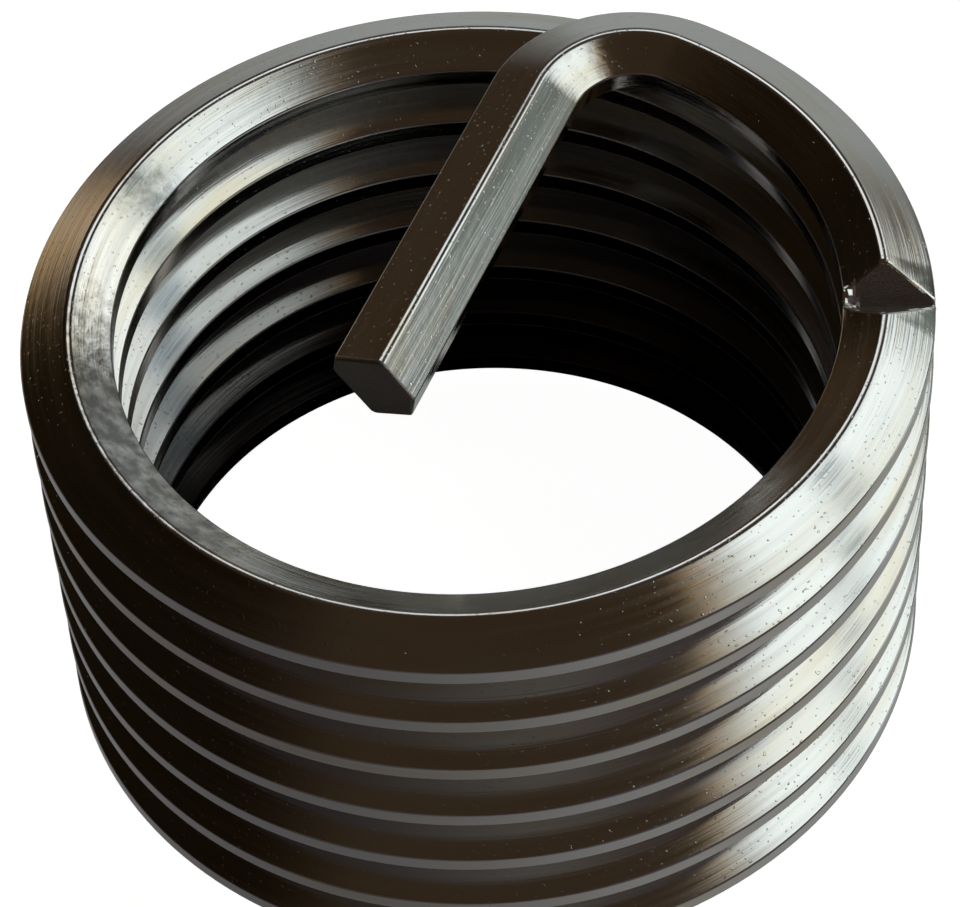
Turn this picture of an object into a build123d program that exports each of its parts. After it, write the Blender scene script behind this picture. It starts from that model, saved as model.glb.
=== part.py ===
from build123d import *
import math
import os

# Helical thread insert: one diamond-section wire wound into a coil whose inner and outer faces are both
# screw threads (M12 x 1.25, before it is wound into its tapped hole). The last stretch of wire curls
# inwards and is bent across the coil as the tang that drives it, with a notch beside the bend where the
# tang snaps off. The axis of the coil is +Z and the lowest point of the wire is at Z = 0.

# Thread
PITCH = 1.25
OUTSIDE_DIAMETER = 14.8  # over the outer crests, free
FLANK_ANGLE = 30.0  # each flank to the horizontal, so 60 degrees between the flanks of a crest

# Wire section, in the thread form's usual shares of its pitch
RIDGE_HEIGHT = PITCH * 7 / 16  # mid-plane of the wire to its top and bottom ridges
OUTER_FLAT = PITCH / 8
INNER_FLAT = PITCH / 4

# Coil, curl, bend and tang: their radii and lengths are along the ridges of the wire
COIL_TURNS = 6.875  # round turns, up to the start of the curl
CURL_RADIUS = 6.05
CURL_ANGLE = 82.0
BEND_RADIUS = 1.75
TANG_LENGTH = 6.95  # straight part
TANG_HEADING = 180.0  # turn from the start of the curl to the tang, which runs towards -Y
TIP_SLANT = 12.0  # the tang is sheared off a little longer on its inner side

# Notch
NOTCH_ANGLE = 19.3  # round the curl from its start
NOTCH_DEPTH = RIDGE_HEIGHT
NOTCH_INCLUDED = 92.0

FULL_TURN = 360.0
TOP_TURN = FULL_TURN  # part of the round coil that the tang passes over, left as rolled
STRIP_ANGLE = 90.0  # longest stretch of the round coil made in one piece
CUT_MARGIN = 1.0  # how far cutting shapes stand clear of the wire

outer_radius = OUTSIDE_DIAMETER / 2
flank_slope = math.tan(math.radians(FLANK_ANGLE))
outer_depth = (RIDGE_HEIGHT - OUTER_FLAT / 2) / flank_slope  # ridge to outer crest
inner_depth = (RIDGE_HEIGHT - INNER_FLAT / 2) / flank_slope  # ridge to inner crest
ridge_radius = outer_radius - outer_depth
inner_radius = ridge_radius - inner_depth
rise_per_length = PITCH / (2 * math.pi * ridge_radius)


def section(*corners):
    """Closed outline in a radial plane: X outwards from the ridge, Z up."""
    outline = Polyline(*[(x, 0, z) for x, z in corners], close=True)
    return Face(Wire(outline.edges()))


def wire_section():
    """The diamond with its flat outer and inner crests."""
    return section(
        (outer_depth, -OUTER_FLAT / 2),
        (outer_depth, OUTER_FLAT / 2),
        (0, RIDGE_HEIGHT),
        (-inner_depth, INNER_FLAT / 2),
        (-inner_depth, -INNER_FLAT / 2),
        (0, -RIDGE_HEIGHT),
    )


def sharp_section():
    """The diamond before its crests are cut flat."""
    apex = RIDGE_HEIGHT / flank_slope
    return section((apex, 0), (0, RIDGE_HEIGHT), (-apex, 0), (0, -RIDGE_HEIGHT))


def wound(profile, radius, angle):
    """A stretch of wire round a vertical axis at X = -radius, rising as the thread does."""
    rise = radius * math.radians(angle) * rise_per_length
    path = Helix(2 * math.pi * radius * rise_per_length, rise, radius)
    return Solid.sweep(profile, path.moved(Pos(-radius, 0, 0)), is_frenet=True)


def after(radius, angle):
    """Where the wire has got to at the end of such a stretch."""
    rise = radius * math.radians(angle) * rise_per_length
    return Pos(-radius, 0, 0) * Rot(0, 0, angle) * Pos(radius, 0, rise)


def crested_strip(angle):
    """A stretch of the round coil, its crests turned to true cylinders about the coil's axis."""
    blank = wound(sharp_section(), ridge_radius, angle)
    height = 2 * (RIDGE_HEIGHT + PITCH)
    axis_foot = Plane((-ridge_radius, 0, -height / 2))
    ring = Solid.make_cylinder(outer_radius, height, axis_foot)
    ring = ring.cut(Solid.make_cylinder(inner_radius, height, axis_foot))
    return blank.intersect(ring)[0]


def sheared_tang():
    """The straight tang, running along +Y and rising, its tip cut off at a slant."""
    run = TANG_LENGTH + CUT_MARGIN
    stock = Solid.extrude(wire_section(), Vector(0, run, run * rise_per_length))
    tip = Pos(0, TANG_LENGTH, 0) * Rot(0, 0, -TIP_SLANT) * Rot(-90, 0, 0)
    return stock.split(Plane(tip), keep=Keep.BOTTOM)


def notch_cutter():
    """A triangular bar across the wire, its lower edge on the root of the notch."""
    height = NOTCH_DEPTH + CUT_MARGIN
    half_width = height * math.tan(math.radians(NOTCH_INCLUDED / 2))
    profile = Polyline((0, 0), (half_width, height), (-half_width, height), close=True)
    inner_end = (-inner_depth - CUT_MARGIN, 0, RIDGE_HEIGHT - NOTCH_DEPTH)
    across = Plane(origin=inner_end, x_dir=(0, 1, 0), z_dir=(1, 0, 0))
    width = inner_depth + outer_depth + 2 * CUT_MARGIN
    return Solid.extrude(across * Face(Wire(profile.edges())), Vector(width, 0, 0))


def coil():
    """The whole wire, from its free end at the bottom to the tip of the tang."""
    crested = COIL_TURNS * FULL_TURN - TOP_TURN
    strip_count = math.ceil(crested / STRIP_ANGLE)
    strip_angle = crested / strip_count
    top_count = math.ceil(TOP_TURN / STRIP_ANGLE)
    top_angle = TOP_TURN / top_count
    bend_angle = TANG_HEADING - CURL_ANGLE
    stretches = (
        (crested_strip(strip_angle), after(ridge_radius, strip_angle), strip_count),
        (wound(wire_section(), ridge_radius, top_angle), after(ridge_radius, top_angle), top_count),
        (wound(wire_section(), CURL_RADIUS, CURL_ANGLE), after(CURL_RADIUS, CURL_ANGLE), 1),
        (wound(wire_section(), BEND_RADIUS, bend_angle), after(BEND_RADIUS, bend_angle), 1),
        (sheared_tang(), Pos(0, TANG_LENGTH, 0), 1),
    )
    place = Rot(0, 0, -COIL_TURNS * FULL_TURN) * Pos(ridge_radius, 0, RIDGE_HEIGHT)
    pieces = []
    for piece, step, count in stretches:
        for _ in range(count):
            pieces.append(piece.moved(place))
            place = place * step
    wire = pieces[0].fuse(*pieces[1:])
    curl_start = Pos(ridge_radius, 0, RIDGE_HEIGHT + COIL_TURNS * PITCH)
    return wire.cut(notch_cutter().moved(curl_start * after(CURL_RADIUS, NOTCH_ANGLE)))


os.makedirs("parts", exist_ok=True)
export_step(coil(), "parts/coil.step")
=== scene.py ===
import math

import bmesh
import bpy
from mathutils import Matrix, Vector, noise


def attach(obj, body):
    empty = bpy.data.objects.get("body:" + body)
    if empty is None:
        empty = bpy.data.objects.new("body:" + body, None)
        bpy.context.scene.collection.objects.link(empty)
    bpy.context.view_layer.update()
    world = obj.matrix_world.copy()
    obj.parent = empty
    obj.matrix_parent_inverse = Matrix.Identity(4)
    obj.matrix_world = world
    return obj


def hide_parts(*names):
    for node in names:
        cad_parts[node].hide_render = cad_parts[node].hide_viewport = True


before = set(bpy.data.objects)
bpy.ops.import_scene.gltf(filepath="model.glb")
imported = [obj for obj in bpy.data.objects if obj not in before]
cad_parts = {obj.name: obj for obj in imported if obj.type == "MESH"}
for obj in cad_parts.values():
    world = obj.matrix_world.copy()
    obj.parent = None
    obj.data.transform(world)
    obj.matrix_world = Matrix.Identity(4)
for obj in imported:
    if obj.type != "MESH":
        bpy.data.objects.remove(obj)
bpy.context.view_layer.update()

MM = 0.001

# ---------------------------------------------------------------------------------------------------
# The wire. Stainless steel, drawn and rolled to a diamond with flat crests, so that each turn of the
# coil is an inner and an outer thread at once. It is made straight here, along +Y, with the section's
# outer crest towards +X, and is wound afterwards.

PITCH = 1.25 * MM
OUTSIDE_RADIUS = 7.4 * MM
RIDGE_HEIGHT = PITCH * 7 / 16
FLANK_SLOPE = math.tan(math.radians(30))
OUTER_DEPTH = (RIDGE_HEIGHT - PITCH / 16) / FLANK_SLOPE
INNER_DEPTH = (RIDGE_HEIGHT - PITCH / 8) / FLANK_SLOPE
OUTER_FLAT = 0.27 * MM  # the rolled crests are worn wider than the thread form's
INNER_FLAT = 0.34 * MM
RIDGE_RADIUS = OUTSIDE_RADIUS - OUTER_DEPTH
RISE = PITCH / (2 * math.pi * RIDGE_RADIUS)  # for each metre of wire

COIL_TURNS = 6.875
CURL_RADIUS, CURL_ANGLE = 6.05 * MM, math.radians(82)
BEND_RADIUS, BEND_ANGLE = 1.75 * MM, math.radians(98)
TANG_LENGTH = 6.95 * MM

RIDGE_ROUND = 0.085 * MM  # from each worn corner of the section to where its rounding starts
CREST_ROUND = 0.03 * MM

coil_length = COIL_TURNS * 2 * math.pi * RIDGE_RADIUS
curl_length = CURL_ANGLE * CURL_RADIUS
bend_length = BEND_ANGLE * BEND_RADIUS
bend_start = coil_length + curl_length
tang_start = bend_start + bend_length
wire_end = tang_start + TANG_LENGTH

NOTCH_PLACE = coil_length + math.radians(19.3) * CURL_RADIUS
NOTCH_SPAN = 1.4 * MM  # wire left whole here until the notch is cut
TIP_SPAN = 0.6 * MM  # and here until the tip is
before_notch = NOTCH_PLACE - NOTCH_SPAN / 2 - coil_length

wire = bmesh.new()
cut_kind = wire.faces.layers.int.new("cut_kind")  # 0 on the wire as drawn
TIP, TIP_EDGE, TORN, BURR_EDGE, CRUSHED = 1, 2, 3, 4, 5
corners = [
    wire.verts.new((x, 0, z))
    for x, z in (
        (OUTER_DEPTH, -OUTER_FLAT / 2),
        (OUTER_DEPTH, OUTER_FLAT / 2),
        (0, RIDGE_HEIGHT),
        (-INNER_DEPTH, INNER_FLAT / 2),
        (-INNER_DEPTH, -INNER_FLAT / 2),
        (0, -RIDGE_HEIGHT),
    )
]
wire.faces.new(corners)
for rounded, offset, segments in (
    ([v for v in corners if abs(v.co.x) > PITCH / 4], CREST_ROUND, 3),
    ([v for v in corners if abs(v.co.x) < PITCH / 4], RIDGE_ROUND, 4),
):
    bmesh.ops.bevel(
        wire, geom=rounded, affect="VERTICES", offset=offset, segments=segments, profile=0.5, material=-1
    )
start = wire.faces[:][0]
outline = [loop.vert.co.xz.copy() for loop in start.loops]
if start.normal.y > 0:
    outline.reverse()
end = wire.edges[:]
for length, steps in (
    (coil_length, round(COIL_TURNS * 180)),
    (before_notch, 8),
    (NOTCH_SPAN, 1),
    (curl_length - before_notch - NOTCH_SPAN, 34),
    (bend_length, 49),
    (TANG_LENGTH - TIP_SPAN, 36),
    (TIP_SPAN + 1 * MM, 1),
):
    # extruding would leave its elements in an order that differs from run to run, so each ring is
    # copied and bridged
    copied = bmesh.ops.duplicate(wire, geom=end)["geom"]
    ring = [item for item in copied if isinstance(item, bmesh.types.BMVert)]
    bmesh.ops.translate(wire, verts=ring, vec=(0, length, 0))
    reached = [item for item in copied if isinstance(item, bmesh.types.BMEdge)]
    drawn_out = bmesh.ops.bridge_loops(wire, edges=end + reached)["edges"]
    if steps > 1:
        bmesh.ops.subdivide_edges(wire, edges=drawn_out, cuts=steps - 1, use_grid_fill=True)
    end = reached
bmesh.ops.recalc_face_normals(wire, faces=list(wire.faces))

# ---------------------------------------------------------------------------------------------------
# The tang's tip. The wire is sheared off at a slant, which leaves its underside a little longer, and
# the shear rolls the edge of the cut over.

TIP_SLANT = Vector((math.tan(math.radians(12)), 1, math.tan(math.radians(10)))).normalized()
TIP_ROLLOVER = 0.065 * MM


def all_of(patch):
    """Faces with their edges and corners, each once and in order, as the bmesh operators take them."""
    edges = dict.fromkeys(e for f in patch for e in f.edges)
    return patch + list(edges) + list(dict.fromkeys(v for f in patch for v in f.verts))


def rounded_off(edges, offset, segments):
    """Round these edges, and give the faces that this makes."""
    return bmesh.ops.bevel(
        wire, geom=edges, affect="EDGES", offset=offset, segments=segments, profile=0.5, material=-1
    )["faces"]


bmesh.ops.bisect_plane(
    wire,
    geom=all_of([f for f in wire.faces if f.calc_center_median().y > tang_start]),
    plane_co=(0, wire_end, 0),
    plane_no=TIP_SLANT,
    clear_outer=True,
)
rim = [e for e in wire.edges if e.is_boundary]
tip = bmesh.ops.holes_fill(wire, edges=rim, sides=0)["faces"]
for face in tip:
    face[cut_kind] = TIP
for face in rounded_off([e for e in rim if e.is_valid], TIP_ROLLOVER, 3):
    face[cut_kind] = TIP_EDGE

# ---------------------------------------------------------------------------------------------------
# The notch. A blunt wedge is pressed down across the wire beside the tang, so that the tang snaps off
# there. Its faces are torn and dull, its mouth has a burr, and its inner end is crushed bright.

NOTCH_HALF = math.radians(48.5)
ROOT_HEIGHT = 0.045 * MM
ROOT_CLIMB = 0.07  # outwards, so that the outer crest runs on beside it
BURR = 0.04 * MM
CRUSHED_FROM = -0.40 * MM  # across the wire
CRUSHED_LIFT = 0.17 * MM
CRUSHED_CREASES = (-0.40, -0.46, -0.52, -0.58)  # across the wire in mm
CREASES = (-0.5, -0.3, -0.2, -0.13, -0.06, 0.0, 0.06, 0.13, 0.2, 0.3, 0.5)  # along it in mm
NOTCH_REACH = 0.72 * MM  # along the wire, past the creases
SAME_SPOT = 1e-8

root_middle = Vector((0, NOTCH_PLACE, ROOT_HEIGHT))
out_of_root = Vector((-ROOT_CLIMB, 0, 1)).normalized()


def by_notch():
    """The faces of the wire near the notch, as they are now."""
    return [f for f in wire.faces if abs(f.calc_center_median().y - NOTCH_PLACE) < NOTCH_REACH]


for side in (-1, 1):
    bmesh.ops.bisect_plane(
        wire,
        geom=all_of(by_notch()),
        plane_co=root_middle,
        plane_no=Vector((0, side * math.cos(NOTCH_HALF), 0)) - out_of_root * math.sin(NOTCH_HALF),
    )
wedge = []
for face in by_notch():
    reach = face.calc_center_median() - root_middle
    if abs(reach.y) < reach.dot(out_of_root) * math.tan(NOTCH_HALF):
        wedge.append(face)
bmesh.ops.delete(wire, geom=wedge, context="FACES")
mouth = [e for e in wire.edges if e.is_boundary]
root_ends = [
    v
    for v in dict.fromkeys(v for e in mouth for v in e.verts)
    if abs(v.co.y - NOTCH_PLACE) < SAME_SPOT and abs((v.co - root_middle).dot(out_of_root)) < SAME_SPOT
]
root = wire.edges.new(root_ends)
for face in bmesh.ops.edgenet_fill(wire, edges=mouth + [root])["faces"]:
    face[cut_kind] = TORN
for face in rounded_off(mouth, BURR, 2):
    face[cut_kind] = BURR_EDGE
for offset in CREASES:
    bmesh.ops.bisect_plane(
        wire, geom=all_of(by_notch()), plane_co=(0, NOTCH_PLACE + offset * MM, 0), plane_no=(0, 1, 0)
    )
for across in CRUSHED_CREASES:
    bmesh.ops.bisect_plane(
        wire, geom=all_of(by_notch()), plane_co=(across * MM, 0, 0), plane_no=(1, 0, 0)
    )
for face in by_notch():
    if face[cut_kind] == TORN and face.calc_center_median().x < CRUSHED_FROM:
        face[cut_kind] = CRUSHED
bmesh.ops.recalc_face_normals(wire, faces=list(wire.faces))

# ---------------------------------------------------------------------------------------------------
# Winding. The coil is wound on a mandrel, its last stretch curls in tighter, and the tang is bent
# across with a slight roll of the wire about its own middle.

TANG_ROLL = math.radians(6)
TANG_SHIFT = Vector((-0.04, 0, -0.03)) * MM
CRUSHED_REACH = 0.4 * MM  # along the wire, each way from the notch's root
CRUSHED_MARGIN = 0.02 * MM
ROUGHENED = (  # what the tool left rough: the size of its dents and how deep they are
    (BURR_EDGE, 0.08 * MM, 0.012 * MM),
    (CRUSHED, 0.07 * MM, 0.03 * MM),
)

drawn = wire.verts.layers.float_vector.new("drawn_wire")


def turned(place, radius, length):
    """Where the wire has got to, and how it lies, after that length round an axis on its inner side."""
    angle = length / radius
    return (
        place
        @ Matrix.Translation((-radius, 0, 0))
        @ Matrix.Rotation(angle, 4, "Z")
        @ Matrix.Translation((radius, 0, length * RISE))
    )


# at each corner of the outline: the normal of the long side that ends there, or between two short ones
SHORT_SIDE = 0.06 * MM
sides = [outline[(i + 1) % len(outline)] - point for i, point in enumerate(outline)]
side_normals = []
for i in range(len(outline)):
    near = max((sides[i - 1], sides[i]), key=lambda side: side.length)
    if near.length < SHORT_SIDE:
        near = sides[i - 1].normalized() + sides[i].normalized()
    side_normals.append(Vector((near.y, -near.x)).normalized())


def section_normal(spot):
    """Square to the section's outline there, so that its flats shade as flats up to their corners."""
    nearest, normal = 1.0, None
    for i, start in enumerate(outline):
        share = min(1.0, max(0.0, (spot - start).dot(sides[i]) / sides[i].length_squared))
        gap = (start + sides[i] * share - spot).length
        if gap < nearest - 1e-9:
            nearest = gap
            before, after = side_normals[i], side_normals[(i + 1) % len(outline)]
            normal = before.lerp(after, share).normalized()
    return normal


coil_place = Matrix.Rotation(-coil_length / RIDGE_RADIUS, 4, "Z") @ Matrix.Translation(
    (RIDGE_RADIUS, 0, RIDGE_HEIGHT)
)
curl_place = turned(coil_place, RIDGE_RADIUS, coil_length)
bend_place = turned(curl_place, CURL_RADIUS, curl_length)
tang_place = turned(bend_place, BEND_RADIUS, bend_length)
grain = Vector((0, 1, RISE)).normalized()
straight = {}
for vert in wire.verts:
    vert[drawn] = vert.co / MM
    spot = vert.co.copy()
    along = spot.y
    if along < coil_length:
        place = turned(coil_place, RIDGE_RADIUS, along)
    elif along < bend_start:
        place = turned(curl_place, CURL_RADIUS, along - coil_length)
    elif along < tang_start:
        place = turned(bend_place, BEND_RADIUS, along - bend_start)
    else:
        place = tang_place @ Matrix.Translation((0, along - tang_start, (along - tang_start) * RISE))
    bent = min(1.0, max(0.0, (along - bend_start) / bend_length))
    bent = bent * bent * (3 - 2 * bent)
    place = place @ Matrix.Translation(TANG_SHIFT * bent) @ Matrix.Rotation(-TANG_ROLL * bent, 4, "Y")
    straight[vert] = (spot.xz, place)
    lift = Vector((0, 0, 0))
    from_root = abs(along - NOTCH_PLACE)
    inner_end = spot.x < CRUSHED_FROM - CRUSHED_MARGIN and spot.z > -CRUSHED_MARGIN
    if inner_end and from_root < CRUSHED_REACH:
        crushed = (CRUSHED_FROM - spot.x) / (INNER_DEPTH + CRUSHED_FROM)
        lift.z = CRUSHED_LIFT * crushed * (1 - from_root / CRUSHED_REACH)
    vert.co = place @ (Vector((spot.x, 0, spot.z)) + lift)

noise.seed_set(5)  # without a seed, it goes by the clock
for kind, size, amount in ROUGHENED:
    for vert in dict.fromkeys(v for f in wire.faces if f[cut_kind] == kind for v in f.verts):
        vert.co += noise.noise_vector(vert.co / size) * amount
wire.normal_update()
wire.verts.index_update()


def by_corners(face):
    """A number for each face from its first corners, which puts the faces in the same order each run."""
    number = 0
    for index in sorted(vert.index for vert in face.verts)[:3]:
        number = number * len(wire.verts) + index
    return number


wire.faces.sort(key=by_corners)

corner_normals = []
known = {}
for face in wire.faces:
    for loop in face.loops:
        meeting = {f[cut_kind] for f in loop.vert.link_faces}
        if face[cut_kind] in (TIP, TORN, BURR_EDGE, CRUSHED):
            corner_normals.append(face.normal.copy())
            continue
        if face[cut_kind] == TIP_EDGE and 0 not in meeting:
            flat_end = [f for f in loop.vert.link_faces if f[cut_kind] == TIP]
            corner_normals.append(flat_end[0].normal.copy() if flat_end else (0, 0, 0))
            continue
        spot, place = straight[loop.vert]
        key = (round(spot.x, 8), round(spot.y, 8))
        if key not in known:
            known[key] = section_normal(spot)
        flat = Vector((known[key].x, 0, known[key].y))
        flat -= grain * flat.dot(grain)
        corner_normals.append((place.to_3x3() @ flat).normalized())
for face in wire.faces:
    face.material_index = 1 if face[cut_kind] in (TIP, TIP_EDGE, TORN) else 0

coil = bpy.data.objects.new("coil_wire", bpy.data.meshes.new("coil_wire"))
wire.to_mesh(coil.data)
wire.free()
bpy.context.scene.collection.objects.link(coil)
coil.data.shade_smooth()
coil.data.normals_split_custom_set(corner_normals)
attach(coil, "root")
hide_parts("coil")


def linear(hex_colour):
    """An sRGB colour such as "8a7f70" as the linear values that a shader takes."""
    shares = [int(hex_colour[i : i + 2], 16) / 255 for i in (0, 2, 4)]
    return [s / 12.92 if s < 0.04045 else ((s + 0.055) / 1.055) ** 2.4 for s in shares] + [1.0]


def add_node(tree, kind, settings={}, **links):
    """Add one node: its settings by name, and what goes into each input, by name or number."""
    node = tree.nodes.new(kind)
    for name, value in settings.items():
        if isinstance(name, int) or name in node.inputs:
            node.inputs[name].default_value = value
        else:
            setattr(node, name, value)
    for name, source in links.items():
        key = int(name[1:]) if name[0] == "i" and name[1:].isdigit() else name.replace("_", " ")
        tree.links.new(source, node.inputs[key])
    return node


# Drawn stainless steel: bright, with fine lines along the wire from the die, which pull each highlight
# out into streaks. Where the rolls gripped hard it is mottled like orange peel, and a few specks stand
# proud. The lines follow the wire, so the pattern reads its place on the straight wire, in mm.
DIE_LINE = (0.035, 2.2, 0.035)  # width, length and depth of a line; the real ones are finer
STREAK = (0.11, 7.0, 0.11)
PEEL = 0.2
SPECK = 0.045
steel = bpy.data.materials.new("drawn stainless steel")
steel.use_nodes = True
tree = steel.node_tree
shader = tree.nodes["Principled BSDF"]
shader.inputs["Metallic"].default_value = 1.0
on_wire = add_node(tree, "ShaderNodeAttribute", {"attribute_name": "drawn_wire"}).outputs["Vector"]
patterns = {}
for name, size, detail in (
    ("die lines", DIE_LINE, 2.0),
    ("streaks", STREAK, 2.0),
    ("peel", (PEEL, PEEL * 1.4, PEEL), 2.0),
    ("specks", (SPECK, SPECK * 1.5, SPECK), 0.0),
    ("tarnish", (0.5, 3.5, 0.5), 2.0),
):
    spread = add_node(
        tree, "ShaderNodeVectorMath", {"operation": "DIVIDE", 1: size, "label": name}, i0=on_wire
    )
    patterns[name] = add_node(
        tree, "ShaderNodeTexNoise", {"Scale": 1.0, "Detail": detail}, Vector=spread.outputs[0]
    ).outputs["Fac"]
axes = add_node(tree, "ShaderNodeSeparateXYZ", Vector=on_wire)
# how mottled each stretch of the last turn is: place along the wire in mm, and share
MOTTLED = (
    (258.0, 0.12),
    (262.0, 0.2),
    (263.2, 0.8),
    (264.4, 0.2),
    (267.0, 1.0),
    (272.0, 1.0),
    (273.5, 0.15),
    (279.0, 0.3),
    (281.5, 0.4),
    (285.0, 0.4),
    (287.0, 0.2),
    (292.6, 0.35),
    (295.5, 0.5),
    (296.5, 0.15),
    (303.0, 0.2),
)
FIRST, LAST = MOTTLED[0][0], MOTTLED[-1][0]
share = add_node(
    tree, "ShaderNodeMapRange", {"From Min": FIRST, "From Max": LAST}, Value=axes.outputs["Y"]
)
ramp = add_node(tree, "ShaderNodeValToRGB", Fac=share.outputs["Result"])
ramp.color_ramp.interpolation = "EASE"
for i, (place, grey) in enumerate(MOTTLED):
    at = (place - FIRST) / (LAST - FIRST)
    stop = ramp.color_ramp.elements[i] if i < 2 else ramp.color_ramp.elements.new(at)
    stop.position = at
    stop.color = (grey, grey, grey, 1)
inner_side = add_node(
    tree,
    "ShaderNodeMapRange",
    {"From Min": 0.1, "From Max": -0.05, "To Min": 0.4},
    Value=axes.outputs["X"],
)
mottled = add_node(
    tree,
    "ShaderNodeMath",
    {"operation": "MULTIPLY"},
    i0=ramp.outputs["Color"],
    i1=inner_side.outputs["Result"],
)
peel_height = add_node(
    tree, "ShaderNodeMath", {"operation": "MULTIPLY"}, i0=patterns["peel"], i1=mottled.outputs[0]
)
proud = add_node(
    tree, "ShaderNodeMapRange", {"From Min": 0.76, "From Max": 0.83}, Value=patterns["specks"]
)
LINE_HEIGHT = 0.0012 * MM
PEEL_HEIGHT = 0.006 * MM
SPECK_HEIGHT = 0.002 * MM
relief = None
for height, depth in (
    (patterns["die lines"], LINE_HEIGHT),
    (patterns["streaks"], LINE_HEIGHT * 1.2),
    (peel_height.outputs[0], PEEL_HEIGHT),
    (proud.outputs["Result"], SPECK_HEIGHT),
):
    bump = add_node(tree, "ShaderNodeBump", {"Strength": 1.0, "Distance": depth}, Height=height)
    if relief is not None:
        tree.links.new(relief, bump.inputs["Normal"])
    relief = bump.outputs["Normal"]
tree.links.new(relief, shader.inputs["Normal"])
gloss = add_node(
    tree,
    "ShaderNodeMapRange",
    {"From Min": 0.3, "From Max": 0.7, "To Min": 0.09, "To Max": 0.2},
    Value=patterns["streaks"],
)
tree.links.new(gloss.outputs["Result"], shader.inputs["Roughness"])
straw = add_node(
    tree,
    "ShaderNodeMapRange",
    {"From Min": 0.45, "From Max": 0.75, "To Min": 0.0, "To Max": 0.6},
    Value=patterns["tarnish"],
)
tint = add_node(tree, "ShaderNodeMix", {"data_type": "RGBA"}, Factor=straw.outputs["Result"])
tint.inputs[6].default_value = linear("cfccc6")
tint.inputs[7].default_value = linear("c6b593")
smut = add_node(
    tree,
    "ShaderNodeMapRange",
    {"From Min": 0.27, "From Max": 0.62, "To Min": 0.0, "To Max": 0.7},
    Value=peel_height.outputs[0],
)
darkened = add_node(tree, "ShaderNodeMix", {"data_type": "RGBA"}, Factor=smut.outputs["Result"])
tree.links.new(tint.outputs[2], darkened.inputs[6])
darkened.inputs[7].default_value = linear("56524c")
# Painted shade: the inside of the coil is darkened turn by turn downwards in the base colour. It stands
# in for the shade deep in the coil and stays dark under any light.
PAINTED_SHADE_FROM, PAINTED_SHADE_TO = 240.0, 40.0  # place along the wire in mm
painted_shade_depth = add_node(
    tree, "ShaderNodeMapRange", {"From Min": PAINTED_SHADE_FROM, "From Max": PAINTED_SHADE_TO}, Value=axes.outputs["Y"]
)
painted_shade_side = add_node(
    tree, "ShaderNodeMapRange", {"From Min": 0.05, "From Max": -0.05}, Value=axes.outputs["X"]
)
painted_shade_amount = add_node(
    tree,
    "ShaderNodeMath",
    {"operation": "MULTIPLY"},
    i0=painted_shade_depth.outputs["Result"],
    i1=painted_shade_side.outputs["Result"],
)
painted_shade_colour = add_node(tree, "ShaderNodeMix", {"data_type": "RGBA"}, Factor=painted_shade_amount.outputs[0])
tree.links.new(darkened.outputs[2], painted_shade_colour.inputs[6])
painted_shade_colour.inputs[7].default_value = linear("2c2826")
tree.links.new(painted_shade_colour.outputs[2], shader.inputs["Base Color"])
coil.data.materials.append(steel)

# Sheared stainless steel, on the notch and the tip: torn across the grain, so it is dull and darker.
TEAR = (0.05, 0.012, 0.16)
sheared = bpy.data.materials.new("sheared stainless steel")
sheared.use_nodes = True
tree = sheared.node_tree
shader = tree.nodes["Principled BSDF"]
shader.inputs["Metallic"].default_value = 1.0
on_wire = add_node(tree, "ShaderNodeAttribute", {"attribute_name": "drawn_wire"}).outputs["Vector"]
spread = add_node(tree, "ShaderNodeVectorMath", {"operation": "DIVIDE", 1: TEAR}, i0=on_wire)
tear = add_node(tree, "ShaderNodeTexNoise", {"Scale": 1.0, "Detail": 3.0}, Vector=spread.outputs[0])
bump = add_node(
    tree, "ShaderNodeBump", {"Strength": 1.0, "Distance": 0.008 * MM}, Height=tear.outputs["Fac"]
)
tree.links.new(bump.outputs["Normal"], shader.inputs["Normal"])
dull = add_node(
    tree,
    "ShaderNodeMapRange",
    {"From Min": 0.3, "From Max": 0.7, "To Min": 0.28, "To Max": 0.5},
    Value=tear.outputs["Fac"],
)
tree.links.new(dull.outputs["Result"], shader.inputs["Roughness"])
tint = add_node(tree, "ShaderNodeMix", {"data_type": "RGBA"}, Factor=tear.outputs["Fac"])
tint.inputs[6].default_value = linear("8f8884")
tint.inputs[7].default_value = linear("b8b2ac")
tree.links.new(tint.outputs[2], shader.inputs["Base Color"])
coil.data.materials.append(sheared)

# ---------------------------------------------------------------------------------------------------
# The floor is white paper. A round black disc lies on it inside the coil and only the steel sees it. It
# is painted shade, standing in for the coil's own shadow on the floor, so that the steel's reflections
# of the floor inside the coil stay dark. The steel doesn't mirror the paper, but the grey of the world
# below the horizon.

FLOOR_RADIUS = 600 * MM
SHADE_DISC_RADIUS = 5.7 * MM
SHADE_DISC_HEIGHT = 0.02 * MM

floor_mesh = bmesh.new()
bmesh.ops.create_circle(floor_mesh, cap_ends=True, segments=64, radius=FLOOR_RADIUS)
floor = bpy.data.objects.new("floor", bpy.data.meshes.new("floor"))
floor_mesh.to_mesh(floor.data)
floor_mesh.free()
bpy.context.scene.collection.objects.link(floor)
floor.visible_glossy = False
paper = bpy.data.materials.new("white paper")
paper.use_nodes = True
paper.cycles.emission_sampling = "NONE"
shader = paper.node_tree.nodes["Principled BSDF"]
shader.inputs["Base Color"].default_value = linear("f4f4f4")
shader.inputs["Roughness"].default_value = 0.9
shader.inputs["Emission Color"].default_value = linear("ffffff")
shader.inputs["Emission Strength"].default_value = 0.97
floor.data.materials.append(paper)

# The black disc is painted shade: the coil's shadow on the floor, as only the steel sees it.
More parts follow.
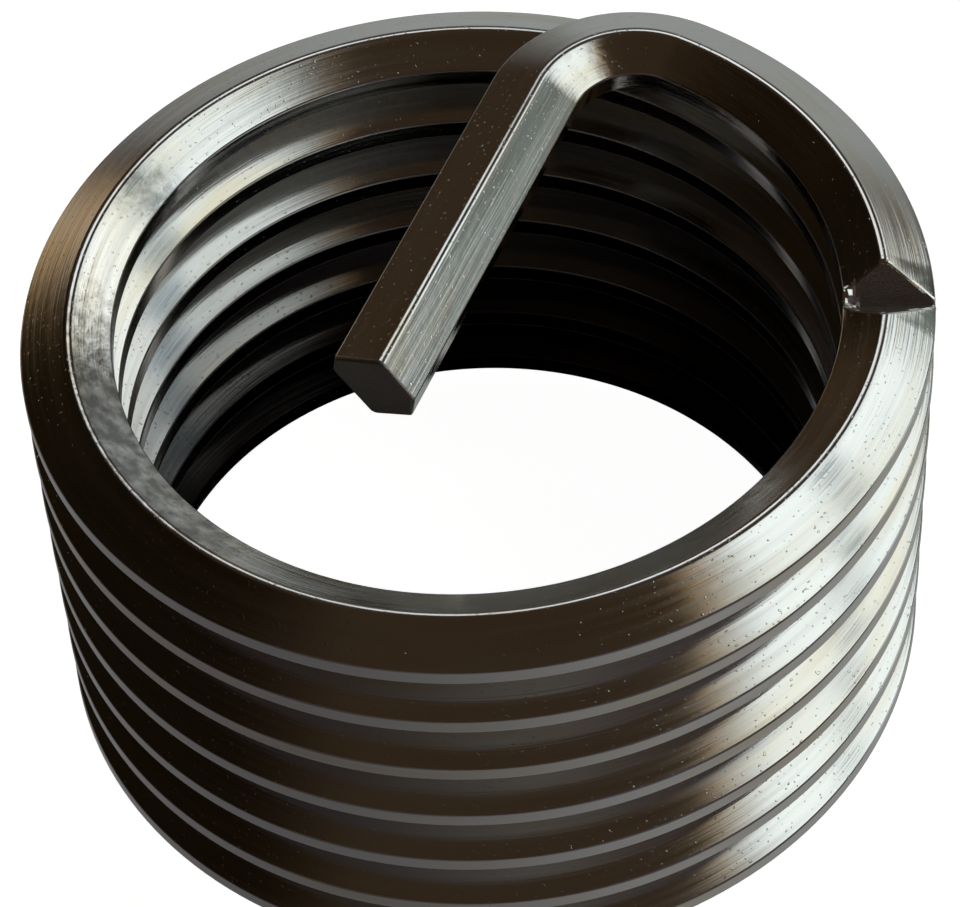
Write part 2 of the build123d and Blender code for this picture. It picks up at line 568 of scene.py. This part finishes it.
shade_disc_mesh = bmesh.new()
bmesh.ops.create_circle(shade_disc_mesh, cap_ends=True, segments=64, radius=SHADE_DISC_RADIUS)
bmesh.ops.translate(shade_disc_mesh, verts=shade_disc_mesh.verts[:], vec=(0, 0, SHADE_DISC_HEIGHT))
card = bpy.data.objects.new("painted_shade_disc", bpy.data.meshes.new("painted_shade_disc"))
shade_disc_mesh.to_mesh(card.data)
shade_disc_mesh.free()
bpy.context.scene.collection.objects.link(card)
card.visible_camera = card.visible_diffuse = card.visible_shadow = card.visible_transmission = False
painted_shade_material = bpy.data.materials.new("painted shade disc")
painted_shade_material.use_nodes = True
painted_shade_material.cycles.emission_sampling = "NONE"
tree = painted_shade_material.node_tree
tree.nodes.clear()
black = add_node(tree, "ShaderNodeBsdfDiffuse", {"Color": linear("0b0a09")})
add_node(tree, "ShaderNodeOutputMaterial", Surface=black.outputs[0])
card.data.materials.append(painted_shade_material)

# ---------------------------------------------------------------------------------------------------
# Fill light. A small soft light hangs in the coil under the tang and lights the inside of its left wall.

FACING = -65.68  # azimuth of the camera
FILL_WIDTH = 6.4 * MM
FILL_FOOT, FILL_HEAD = 4.6 * MM, 8.7 * MM
FILL_OUT = 0.4 * MM  # from the axis of the coil
FILL_RADIANCE = 0.3
fill = bpy.data.lights.new("fill light", "AREA")
fill.shape = "RECTANGLE"
fill.size, fill.size_y = FILL_WIDTH, FILL_HEAD - FILL_FOOT
fill.energy = 4 * fill.size * fill.size_y * FILL_RADIANCE
fill.color = linear("e8f2f4")[:3]
hung = bpy.data.objects.new("fill light", fill)
hung.matrix_world = (
    Matrix.Rotation(math.radians(FACING + 90), 4, "Z")
    @ Matrix.Translation((-FILL_OUT, 0, (FILL_HEAD + FILL_FOOT) / 2))
    @ Matrix.Rotation(math.radians(90), 4, "Y")
    @ Matrix.Rotation(math.radians(90), 4, "Z")
)
hung.visible_camera = hung.visible_diffuse = False
bpy.context.scene.collection.objects.link(hung)

# ---------------------------------------------------------------------------------------------------
# Studio light. Soft panels, cards and flags stand round the object in the dark, and each is an ellipse
# with a soft edge on the sky: its azimuth from the front, elevation and half sizes are in degrees.

MIDDLE = 130  # the panels are laid out round this azimuth, so that none crosses the join behind it
PANELS = (
    ("dim side wall", 44, 7, 54, 50, 0, 0.62, "554f57", 1.0),
    ("black flag", -88, 30, 54, 46, 0, 0.51, "161008", 1.0),
    ("black flag, back", -136, 37, 25, 26, -40, 0.54, "18130b", 1.0),
    ("left wall", -30, 10, 40, 24, 0, 0.8, "484644", 1.0),
    ("back panel", 164, 0, 38, 39, 0, 0.63, "a7adae", 1.0),
    ("ridge card", 180, 50, 20, 11, 0, 0.5, "e4ecf4", 1.7),
    ("gold card", -141, 3, 18, 12, 0, 0.59, "e3c9a7", 1.0),
    ("amber card", 66, 63, 9, 7, 0, 0.7, "a88f6a", 1.0),
    ("key", 101, 47, 45, 16, -20, 0.46, "f1fcff", 1.6),
    ("gap in the key", 116, 44, 9, 4, -27, 0.52, "a9c0d1", 1.0),
    ("second gap", 98, 48, 7, 4, -20, 0.8, "b4c2ca", 1.0),
    ("dark wall, back", 178, 14, 17, 13, 0, 0.6, "4e463a", 1.0),
    ("low key", 98, 8, 14, 22, 0, 0.7, "eef8ff", 1.08),
    ("grey card", 101, 67, 20, 8, -10, 0.5, "514f4c", 1.0),
    ("key, low", 132, 30, 21, 7, -38, 0.58, "eff9ff", 1.9),
    ("tang card", 121, 23, 15, 9, -21, 0.48, "77817e", 1.0),
)
HORIZON, OVERHEAD = "3d3125", "3b3025"
GROUND_LEFT, GROUND_RIGHT, GROUND_TOWARDS = "352e34", "afb2b2", 118
world = bpy.data.worlds.new("studio")
world.use_nodes = True
bpy.context.scene.world = world
tree = world.node_tree
tree.nodes.clear()
towards = add_node(tree, "ShaderNodeTexCoord").outputs["Generated"]
spun = add_node(
    tree,
    "ShaderNodeVectorRotate",
    {"rotation_type": "Z_AXIS", "Angle": -math.radians(MIDDLE + FACING)},
    Vector=towards,
)
axes = add_node(tree, "ShaderNodeSeparateXYZ", Vector=spun.outputs[0])
swing = add_node(
    tree, "ShaderNodeMath", {"operation": "ARCTAN2"}, i0=axes.outputs["Y"], i1=axes.outputs["X"]
)
lifted = add_node(tree, "ShaderNodeMath", {"operation": "ARCSINE"}, i0=axes.outputs["Z"])
bearing = add_node(tree, "ShaderNodeCombineXYZ", X=swing.outputs[0], Y=lifted.outputs[0])
degrees = add_node(
    tree,
    "ShaderNodeVectorMath",
    {"operation": "SCALE", "Scale": 180 / math.pi},
    i0=bearing.outputs[0],
)
sky = add_node(
    tree,
    "ShaderNodeMapRange",
    {"interpolation_type": "SMOOTHSTEP", "From Min": 0.0, "From Max": 0.82},
    Value=axes.outputs["Z"],
)
above = add_node(tree, "ShaderNodeMix", {"data_type": "RGBA"}, Factor=sky.outputs["Result"])
above.inputs[6].default_value = linear(HORIZON)
above.inputs[7].default_value = linear(OVERHEAD)
right_hand = math.radians(GROUND_TOWARDS + FACING)
rightness = add_node(
    tree,
    "ShaderNodeVectorMath",
    {"operation": "DOT_PRODUCT", 1: (math.cos(right_hand), math.sin(right_hand), 0)},
    i0=towards,
)
to_right = add_node(
    tree, "ShaderNodeMapRange", {"From Min": -1.0, "From Max": 1.0}, Value=rightness.outputs["Value"]
)
ground = add_node(tree, "ShaderNodeMix", {"data_type": "RGBA"}, Factor=to_right.outputs["Result"])
ground.inputs[6].default_value = linear(GROUND_LEFT)
ground.inputs[7].default_value = linear(GROUND_RIGHT)
below = add_node(tree, "ShaderNodeMath", {"operation": "LESS_THAN", 1: 0.0}, i0=axes.outputs["Z"])
surround = add_node(tree, "ShaderNodeMix", {"data_type": "RGBA"}, Factor=below.outputs[0])
tree.links.new(above.outputs[2], surround.inputs[6])
tree.links.new(ground.outputs[2], surround.inputs[7])
seen = surround.outputs[2]
for name, azimuth, elevation, half_width, half_height, tilt, softness, colour, strength in PANELS:
    held = add_node(
        tree,
        "ShaderNodeMapping",
        {
            "vector_type": "TEXTURE",
            "Location": ((azimuth - MIDDLE + 180) % 360 - 180, elevation, 0),
            "Rotation": (0, 0, math.radians(tilt)),
            "Scale": (half_width, half_height, 1),
            "label": name,
        },
        Vector=degrees.outputs[0],
    )
    reach = add_node(tree, "ShaderNodeVectorMath", {"operation": "LENGTH"}, i0=held.outputs[0])
    edge = add_node(
        tree,
        "ShaderNodeMapRange",
        {"interpolation_type": "SMOOTHSTEP", "From Min": 1.0, "From Max": 1.0 - softness},
        Value=reach.outputs["Value"],
    )
    panel = add_node(tree, "ShaderNodeMix", {"data_type": "RGBA"}, Factor=edge.outputs["Result"])
    tree.links.new(seen, panel.inputs[6])
    panel.inputs[7].default_value = [c * strength for c in linear(colour)[:3]] + [1]
    seen = panel.outputs[2]
shown = add_node(tree, "ShaderNodeLightPath").outputs["Is Camera Ray"]
white = add_node(tree, "ShaderNodeMix", {"data_type": "RGBA"}, Factor=shown)
tree.links.new(seen, white.inputs[6])
white.inputs[7].default_value = (1, 1, 1, 1)
back = add_node(tree, "ShaderNodeBackground", Color=white.outputs[2])
add_node(tree, "ShaderNodeOutputWorld", Surface=back.outputs[0])

# ---------------------------------------------------------------------------------------------------
# The camera looks down at 50 degrees from in front of the coil, through a long lens, and is rolled a
# little about its line of sight.

CAMERA_PLACE = Vector((17.83, -39.45, 57.43)) * MM
LINE_OF_SIGHT = Vector((-0.26401, 0.58153, -0.76951))
LENS, FILM_WIDTH = 150.88, 36  # in mm
ROLL = math.radians(-3.44)
camera = bpy.data.objects.new("camera", bpy.data.cameras.new("camera"))
bpy.context.scene.collection.objects.link(camera)
camera.data.lens = LENS
camera.data.sensor_width = FILM_WIDTH
camera.data.clip_start = 1 * MM
camera.location = CAMERA_PLACE
roll = Matrix.Rotation(ROLL, 3, "Z").to_quaternion()
camera.rotation_mode = "QUATERNION"
camera.rotation_quaternion = LINE_OF_SIGHT.to_track_quat("-Z", "Y") @ roll
bpy.context.scene.camera = camera
bpy.context.scene.view_settings.view_transform = "Standard"
